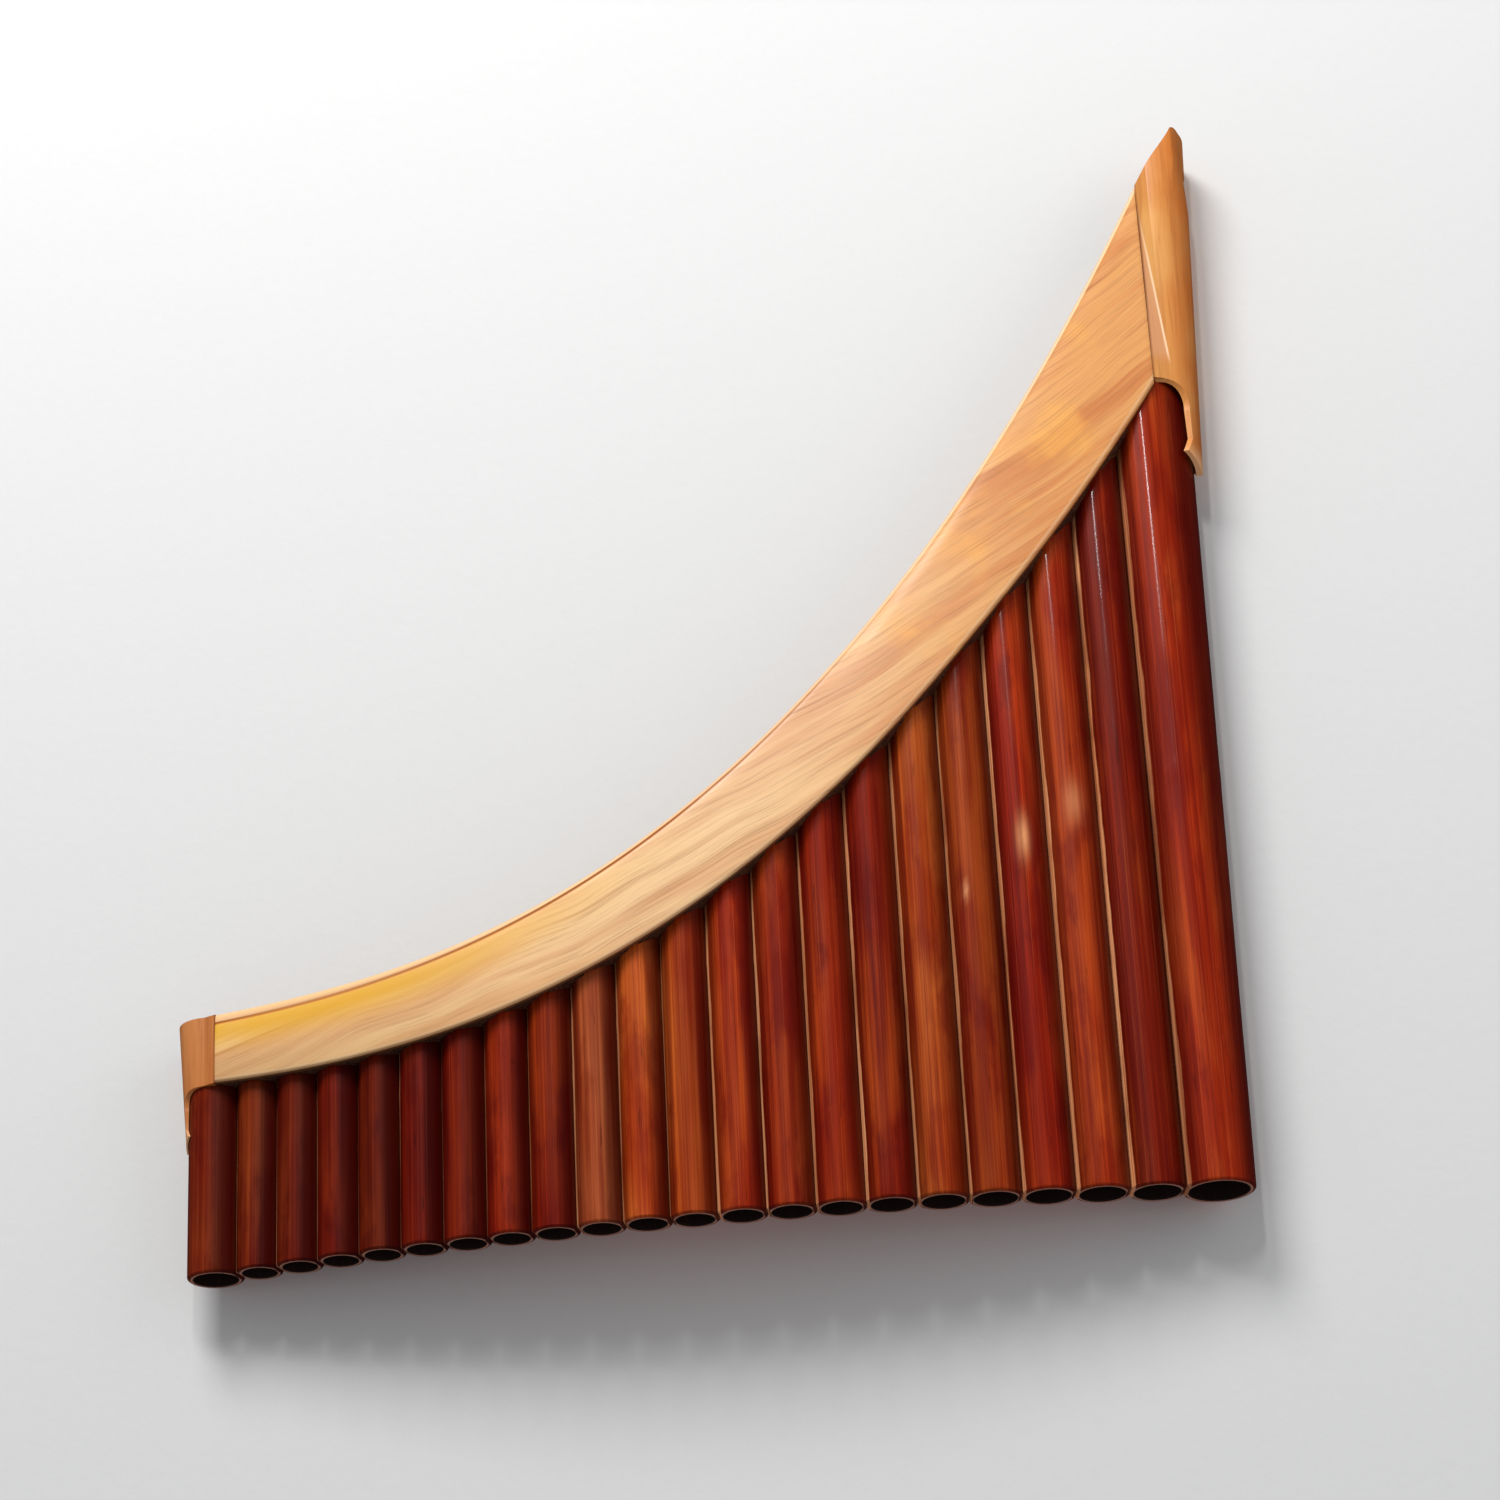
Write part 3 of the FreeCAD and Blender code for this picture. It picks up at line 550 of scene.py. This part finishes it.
FOOT_ROUND, MOUTH_ROUND, BORE_BEVEL = 1.0 * MM, 0.4 * MM, 0.25 * MM
ROW_STEP = 2.5 * MM
SWELL, RING_HEIGHT, RING_WIDTH, SKIN_SINK = 0.07 * MM, 0.1 * MM, 2.2 * MM, 0.05 * MM
FLAT_EDGE = 0.92  # sine of the angle near which the side flats start
SKIN, CUT, BORE = range(3)  # material slots of a pipe
TONES = {
    "cane_red": (flat(152, 46, 14), flat(176, 74, 28), flat(106, 18, 5)),
    "cane_maroon": (flat(142, 36, 10), flat(168, 62, 20), flat(92, 10, 5)),
    "cane_orange": (flat(168, 66, 20), flat(198, 98, 40), flat(118, 28, 6)),
    "cane_tan": (flat(170, 84, 36), flat(200, 116, 60), flat(122, 42, 14)),
}


def section_angles():
    """Angles round a pipe, 0 at its front, with one more near each edge of the side flats."""
    corner = math.asin(FLAT_EDGE)
    angles = set(np.round(np.linspace(-math.pi, math.pi, 73)[:-1], 5))
    angles |= {corner, -corner, math.pi - corner, corner - math.pi}
    return sorted(angles)


def make_pipe(cane):
    """One pipe as rows of points: foot, skin, mouth, then down the bore."""
    seed = cane.number
    chance = random.Random(seed)
    angles = section_angles()
    outer = []
    for angle in angles:
        across, rearward = cane.radius * math.sin(angle), -cane.radius * math.cos(angle)
        across = max(-cane.flat_at(0, rearward), min(cane.flat_at(1, rearward), across))
        outer.append((across, rearward))
    outer = np.array(outer)
    inner = np.array([(cane.bore * math.sin(angle), -cane.bore * math.cos(angle)) for angle in angles])
    inwards = inner - outer
    inwards /= np.linalg.norm(inwards, axis=1)[:, None]
    is_round = np.abs(np.linalg.norm(outer, axis=1) - cane.radius) < 0.02 * MM
    ridge = chance.uniform(0.3, 0.75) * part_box(cane.name)[1].z

    def top_height(section):
        places = np.array([cane.place(*point) for point in section])
        return top_edge(places[:, 0])

    rows, zones, sides = [], [], []

    def add_row(section, heights, zone):
        rows.append(np.column_stack([[cane.place(*point) for point in section], heights]))
        zones.append(zone)
        sides.append(np.clip(section[:, 0] / cane.radius, -1, 1))

    steps = np.linspace(0, math.pi / 2, 5)
    for turn in steps[:-1]:
        inset = FOOT_ROUND * (1 - math.sin(turn))
        add_row(outer + inwards * inset, np.full(len(angles), FOOT_ROUND * (1 - math.cos(turn))), SKIN)
    top = top_height(cane.spread(outer, np.full(len(angles), cane.top[:, 2].mean())))
    body_rows = max(12, int(top.mean() / ROW_STEP))
    for share in np.linspace(0, 1, body_rows + 1):
        heights = FOOT_ROUND + (top - MOUTH_ROUND - FOOT_ROUND) * share
        swell = []
        for angle, height, round_here in zip(angles, heights, is_round):
            slow = SWELL * wander(seed, math.sin(angle) * 1.5, math.cos(angle) * 1.5, height * 22)
            ring = RING_HEIGHT * math.exp(-(((height - ridge) / RING_WIDTH) ** 2))
            swell.append((slow + ring - SKIN_SINK) if round_here else 0.0)
        section = cane.spread(outer - inwards * np.array(swell)[:, None], heights)
        add_row(section, heights, SKIN)
    for turn in steps[1:]:
        inset = MOUTH_ROUND * (1 - math.cos(turn))
        section = cane.spread(outer + inwards * inset, top)
        heights = top_height(section) - MOUTH_ROUND * (1 - math.sin(turn))
        add_row(section, heights, SKIN if turn < 1 else CUT)
    rim = inner - inwards * BORE_BEVEL
    add_row(rim, top_height(rim), CUT)
    bore_top = top_height(inner) - BORE_BEVEL
    for share in np.linspace(1, 0, 14):
        add_row(inner, BORE_BEVEL + (bore_top - BORE_BEVEL) * share, BORE)
    add_row(rim, np.zeros(len(angles)), CUT)
    vertices = np.vstack(rows)
    faces = grid_faces(len(rows), len(angles), True, True)
    piece = make_piece(f"cane_{cane.number:02d}", vertices, faces)
    arc = np.tile([angle * cane.radius for angle in angles], len(rows))
    height = vertices[:, 2]
    give(piece, "cane_place", np.column_stack([arc, height, np.full(len(height), seed * 3.7)]))
    give(piece, "cane_side", np.concatenate(sides))
    for index, polygon in enumerate(piece.data.polygons):
        row = index // len(angles)
        polygon.material_index = max(zones[row], zones[(row + 1) % len(rows)])
    return piece


# Painted highlights, as pale spots, by pipe: place across in radii, place up as a share of the flute's
# height, half width, half height, strength.
SPOTS = {
    3: (0.02, 0.335, 2.6 * MM, 6.5 * MM, 0.45),
    4: (0.02, 0.305, 1.7 * MM, 6.0 * MM, 0.95),
    5: (-0.3, 0.26, 0.8 * MM, 2.6 * MM, 0.8),
}
DULL_UNTIL, BRIGHT_FROM, DULLNESS = -0.1, -0.03, 0.46  # the short end's pipes are darker
SIDE_SHADE_FROM, SIDE_SHADE_FULL, SIDE_SHADE = 0.03, -0.07, 0.62  # and darker still on their right side, as painted shade


def read(piece, attribute, field, width=1):
    """Values of a vertex attribute, one row each."""
    values = np.zeros(len(piece.data.vertices) * width, np.float32)
    piece.data.attributes[attribute].data.foreach_get(field, values)
    return values.reshape(-1, width) if width > 1 else values


def dress_pipe(piece, cane, slot):
    """Materials and the stain's values for one pipe, with painted shade on the right side of the short
    end's pipes.
    """
    chance = random.Random(cane.number * 11)
    count = len(piece.data.vertices)
    place = read(piece, "cane_place", "vector", 3)
    spot = np.zeros(count)
    if cane.number in SPOTS:
        across, share, half_width, half_height, strength = SPOTS[cane.number]
        beside = (place[:, 0] - across * cane.radius) / half_width
        above = (place[:, 1] - share * SIZE.z) / half_height
        spot = strength * np.exp(-(beside**2) - above**2)
    give(piece, "cane_spot", spot)
    tall_side = cane.x > 0
    # Strength of the pale left edge: raw wood, with painted light in that only the left edge is pale.
    raw_lit_left = chance.uniform(0.7, 1.0) if tall_side else chance.uniform(0.35, 0.85)
    amber_shift = chance.uniform(-0.07, 0.07)
    if cane.number == 1:
        raw_lit_left, amber_shift = 0.55, -0.12
    give(piece, "cane_raw", np.tile([raw_lit_left, amber_shift, 0.0], (count, 1)))
    brightness = 1 - DULLNESS * (1 - ramp(cane.x, DULL_UNTIL, BRIGHT_FROM))
    strength = chance.uniform(0.82, 1.12) * brightness
    warmth = chance.uniform(0.85, 1.15) if tall_side else chance.uniform(0.72, 1.0)
    # Painted shade on the right side of the short end's pipes, baked into the tone together with its random
    # strength and warmth.
    side_shade = SIDE_SHADE * ramp(cane.x, SIDE_SHADE_FROM, SIDE_SHADE_FULL)
    right_side = smooth(ramp(read(piece, "cane_side", "value"), 0.05, 0.65))
    strengths = strength * (1 - side_shade * right_side)
    colours = np.outer(strengths, [1, warmth, 1, 0]) + (0, 0, 0, 1)
    tone_and_shade = piece.data.attributes.new("cane_tone", "FLOAT_COLOR", "POINT")
    tone_and_shade.data.foreach_set("color", colours.ravel().astype(np.float32))
    for material in (materials[slot], materials["cane_cut"], materials["cane_bore"]):
        piece.data.materials.append(material)
    shade(piece, 30)
    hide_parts(cane.name)


materials = {slot: cane_material(slot, *tones) for slot, tones in TONES.items()}
materials["cane_cut"] = cut_material()
materials["cane_bore"] = bore_material()
slots = {part["node"]: part["material_slot"] for part in frame["record"]["subparts"]}
for cane in canes:
    dress_pipe(make_pipe(cane), cane, slots[cane.name])


# ---- bands ----

GLUE = 0.2 * MM
BAND_STEP = 1.5 * MM
FACE_PROBE, EDGE_PROBE = 9 * MM, 1.4 * MM  # below the top edge, and behind the face
CROWN, RIPPLE = 0.25, 0.06  # bulge and unevenness of a band's face, in mm
END_SINK, END_REACH = 0.18, 0.7  # wear at a band's ends, in mm
END_STEPS = np.array([0.12, 0.35, 0.7]) * MM
PLAIN_AFTER_LIP, PLAIN_BEFORE_EDGE = 1.3, 1.9  # in mm; between them the face is plain
LIP_SINK = 0.04  # of the face just below the lip, in mm


def band_shape(node, facing):
    """Ends of a CAD band, and laws along x for its face's y, its height and its thickness.

    facing is -1 for the front band and 1 for the back one.
    """
    tree = tree_of(node)
    low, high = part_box(node)
    xs = np.linspace(low.x + 0.5 * MM, high.x - 0.5 * MM, 90)
    faces, drops = [], []
    for x in xs:
        top = float(edge_law(x))
        hit = tree.ray_cast(Vector((x, facing * 0.2, top - FACE_PROBE)), Vector((0, -facing, 0)))[0]
        faces.append(hit.y)
        inside = Vector((x, hit.y - facing * EDGE_PROBE, -0.05))
        under = tree.ray_cast(inside, Vector((0, 0, 1)))[0]
        drops.append(top - under.z)
    face_law = np.polynomial.Polynomial.fit(xs, faces, 4)
    drop_law = np.polynomial.Polynomial.fit(xs, drops, 14)
    corners = points_of(node)
    ends = []
    for end in (low.x, high.x):
        here = corners[np.abs(corners[:, 0] - end) < 0.05 * MM]
        ends.append((end, np.ptp(here[:, 1])))
    (x0, t0), (x1, t1) = ends
    thickness = np.polynomial.Polynomial.fit([x0, x1], [t0, t1], 1)
    return low.x, high.x, face_law, drop_law, thickness


def seat_of(x, drum, facing):
    """The band's inner face: the plain curve, hollowed where a pipe and its glue come nearer."""
    seat = drum
    for cane in canes:
        room = cane.radius + GLUE
        if abs(x - cane.x) < room:
            reach = cane.y + facing * math.sqrt(room**2 - (x - cane.x) ** 2)
            seat = min(seat, reach) if facing < 0 else max(seat, reach)
    return seat


def band_profile(lip):
    """Steps down the face, as pairs of distance and sink of the face, in mm.

    Distances count from the top edge, but from the lower edge in the last list.
    """
    top = [(0.0, 1.3), (0.12, 0.85), (0.35, 0.5), (0.7, 0.25), (1.1, 0.12)]
    crease = [(-0.35, 0.06), (-0.1, 0.14), (0.2, 0.28), (0.5, 0.14), (0.9, 0.04)]
    crease = [(lip + step, sink) for step, sink in crease]
    low = [(-1.3, 0.02), (-0.8, 0.12), (-0.45, 0.3), (-0.2, 0.55), (-0.05, 0.9), (0.0, 1.3)]
    return top, crease, low


def make_band(node, facing):
    """A band as columns of points that run down its face and back up its inner side."""
    x0, x1, face_law, drop_law, thickness = band_shape(node, facing)
    xs = np.linspace(x0, x1, int((x1 - x0) / BAND_STEP) + 1)
    xs = np.unique(np.concatenate([xs, x0 + END_STEPS, x1 - END_STEPS]))
    columns, places = [], []
    for x in xs:
        share = (x - x0) / (x1 - x0)
        top, drop = float(edge_law(x)), float(drop_law(x))
        tilt = 1 / math.hypot(1, float(edge_slope(x)))
        narrowing = min(share / LIP_EVEN_FROM, 1) ** 0.7
        lip = LIP_AT_SHORT_END - (LIP_AT_SHORT_END - LIP_ELSEWHERE) * narrowing
        upper, crease, lower = band_profile(lip)
        depth = 1 - ramp(share, *CREASE_FADES)
        from_end = min(x - x0, x1 - x) / MM
        end_sink = END_SINK * (1 - min(from_end / END_REACH, 1)) ** 2
        face = float(face_law(x))
        seat = seat_of(x, face - facing * float(thickness(x)), facing)
        width = drop * tilt
        column, here = [], []

        def add(distance, sink, y=None):
            crown = CROWN * math.sin(math.pi * min(max(distance / width, 0), 1))
            surface = face + facing * (crown - sink - end_sink) * MM
            column.append((x, surface if y is None else y, top - distance / tilt))
            here.append((share, distance, width - distance))

        add(0.0, 0, seat)
        for distance, sink in upper:
            add(distance * MM, sink)
        for distance, sink in crease:
            add(distance * MM, LIP_SINK + sink * depth)
        first, last = (lip + PLAIN_AFTER_LIP) * MM, width - PLAIN_BEFORE_EDGE * MM
        for step in np.linspace(0, 1, 9):
            distance = first + (last - first) * step
            add(distance, RIPPLE * wander(3, x * 40, distance * 90))
        for distance, sink in lower:
            add(width + distance * MM, sink)
        add(width, 0, seat)
        for step in (0.75, 0.5, 0.25):
            add(width * step, 0, seat)
        columns.append(column)
        places.append(here)
    rows = len(columns[0])
    vertices = np.array(columns).reshape(-1, 3)
    faces = grid_faces(len(columns), rows, False, True)
    faces.append(tuple(range(rows)))
    faces.append(tuple((len(columns) - 1) * rows + row for row in reversed(range(rows))))
    if facing > 0:
        faces = [tuple(reversed(face)) for face in faces]
    piece = make_piece(f"{node}_wood", vertices, faces)
    give(piece, "band_place", np.array(places).reshape(-1, 3))
    piece.data.materials.append(materials["band_wood"])
    shade(piece, 40)
    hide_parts(node)


materials["band_wood"] = band_material()
make_band("front_band", -1)
make_band("back_band", 1)


# ---- cheeks, stoppers and filler ----

CHEEK_WEAR, STOPPER_WEAR = 0.35 * MM, 0.5 * MM
SLIM_FROM, SLIM_FULLY = 0.33, 0.345  # heights between which the tall cheek's tip is slimmed more and more
CHEEKS = {  # warm and light wood at the ends of the painted shade, dark wood, x of the seam, whether it has the painted facet
    "short_cheek": (flat(178, 102, 50), flat(206, 134, 78), flat(134, 68, 30), -0.1476, False),
    "tall_cheek": (flat(198, 108, 42), flat(222, 164, 94), flat(150, 76, 30), 0.1521, True),
}


def softened(node):
    """Copy of a CAD cheek with its edges worn round; the tall one's tip is slimmed too."""
    source = frame["nodes"][node]
    piece = bpy.data.objects.new(f"{node}_wood", source.data.copy())
    piece.data.materials.clear()
    bpy.context.scene.collection.objects.link(piece)
    if node == "tall_cheek":
        for vertex in piece.data.vertices:
            share = ramp(vertex.co.z, SLIM_FROM, SLIM_FULLY)
            shift, drop = at_tip(vertex.co.x)
            vertex.co.x += shift * share
            vertex.co.z -= drop * share
    wear_edges(piece, CHEEK_WEAR, 32)
    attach(piece, "flute")
    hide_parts(node)
    shade(piece, 60)
    return piece


for node, look in CHEEKS.items():
    softened(node).data.materials.append(cheek_material(node, *look))

materials["cork"] = cork_material()
materials["filler"] = filler_material()
for name, node in frame["nodes"].items():
    if name.startswith("stopper_") or name.endswith("_filler"):
        node.data.materials.clear()
        node.data.materials.append(materials[slots[name]])
    if name.startswith("stopper_"):
        wear_edges(node, STOPPER_WEAR, 30)


# ---- stage, lights and camera ----


def sheet(name, corners, material):
    """Flat sheet of the stage that neither shades, tints nor shows in the flute."""
    piece = make_piece(name, corners, [(0, 1, 2, 3)], body=None)
    piece.data.materials.append(material)
    piece.visible_shadow = False
    piece.visible_diffuse = False
    piece.visible_glossy = False


SHEET_REACH = 6 * SIZE.length
BACKDROP_GAP = 0.4 * MM
paper = paper_material("pale_paper", (0.63, 0.63, 0.62))
rest_plane = HIGH.y + BACKDROP_GAP
square = [(SHEET_REACH * a, SHEET_REACH * b) for a, b in ((-1, -1), (1, -1), (1, 1), (-1, 1))]
sheet("floor", [(x, y, 0) for x, y in square], paper)
sheet("backdrop", [(x, rest_plane, z) for x, z in square], paper)


def direction(azimuth, elevation):
    """Unit vector away from the flute; azimuth 0 is its front, and positive is towards the tall end."""
    a, e = math.radians(azimuth), math.radians(elevation)
    return Vector((math.sin(a) * math.cos(e), -math.cos(a) * math.cos(e), math.sin(e)))


def soft_light(name, azimuth, elevation, distance, size, power, mirrored):
    """Soft box aimed at the flute; one that isn't mirrored leaves no highlight in the lacquer."""
    lamp = bpy.data.lights.new(name, "AREA")
    lamp.shape = "RECTANGLE"
    lamp.size, lamp.size_y = size
    lamp.energy = power
    holder = bpy.data.objects.new(name, lamp)
    bpy.context.scene.collection.objects.link(holder)
    away = direction(azimuth, elevation)
    holder.location = CENTRE + away * distance
    holder.rotation_euler = (-away).to_track_quat("-Z", "Y").to_euler()
    holder.visible_glossy = mirrored


AIR_LIGHT, AIR_MIRRORED = 0.44, 0.03


def studio_air():
    """Even pale light, but a dim room where the lacquer mirrors it."""
    world = bpy.data.worlds.new("studio")
    world.use_nodes = True
    tree = world.node_tree
    path = tree.nodes.new("ShaderNodeLightPath")
    strength = tree.nodes.new("ShaderNodeMapRange")
    strength.inputs["To Min"].default_value = AIR_LIGHT
    strength.inputs["To Max"].default_value = AIR_MIRRORED
    tree.links.new(path.outputs["Is Glossy Ray"], strength.inputs["Value"])
    air = tree.nodes["Background"]
    air.inputs["Color"].default_value = (0.95, 0.96, 1.0, 1.0)
    tree.links.new(strength.outputs[0], air.inputs["Strength"])
    bpy.context.scene.world = world


soft_light("key", -20, 46, 1.5, (0.6, 0.6), 22, True)
soft_light("window", 2, 33, 1.6, (0.07, 0.3), 5.0, True)
soft_light("fill", 60, 10, 1.8, (1.2, 1.2), 6.5, False)
soft_light("rear", 170, 35, 1.8, (1.0, 1.0), 20, False)
studio_air()
bpy.context.scene.view_settings.view_transform = "Standard"

VIEW_AZIMUTH, VIEW_ELEVATION, VIEW_ROLL = 6.88, -25.01, -2.89
VIEW_DISTANCE = 2.5244 * SIZE.length
VIEW_SHIFT = (0.01422, -0.02447)  # aim off the flute's middle, to the right and up, in metres
VIEW_LENS, VIEW_SENSOR = 96, 36  # mm

lens = bpy.data.cameras.new("photo_view")
lens.lens = VIEW_LENS
lens.sensor_width = VIEW_SENSOR
camera = bpy.data.objects.new("photo_view", lens)
bpy.context.scene.collection.objects.link(camera)
back = direction(VIEW_AZIMUTH, VIEW_ELEVATION)
turn = (-back).to_track_quat("-Z", "Y")
right, up = turn @ Vector((1, 0, 0)), turn @ Vector((0, 1, 0))
camera.location = CENTRE + back * VIEW_DISTANCE + right * VIEW_SHIFT[0] + up * VIEW_SHIFT[1]
camera.rotation_mode = "QUATERNION"
camera.rotation_quaternion = turn @ Quaternion((0, 0, 1), math.radians(VIEW_ROLL))
bpy.context.scene.camera = camera
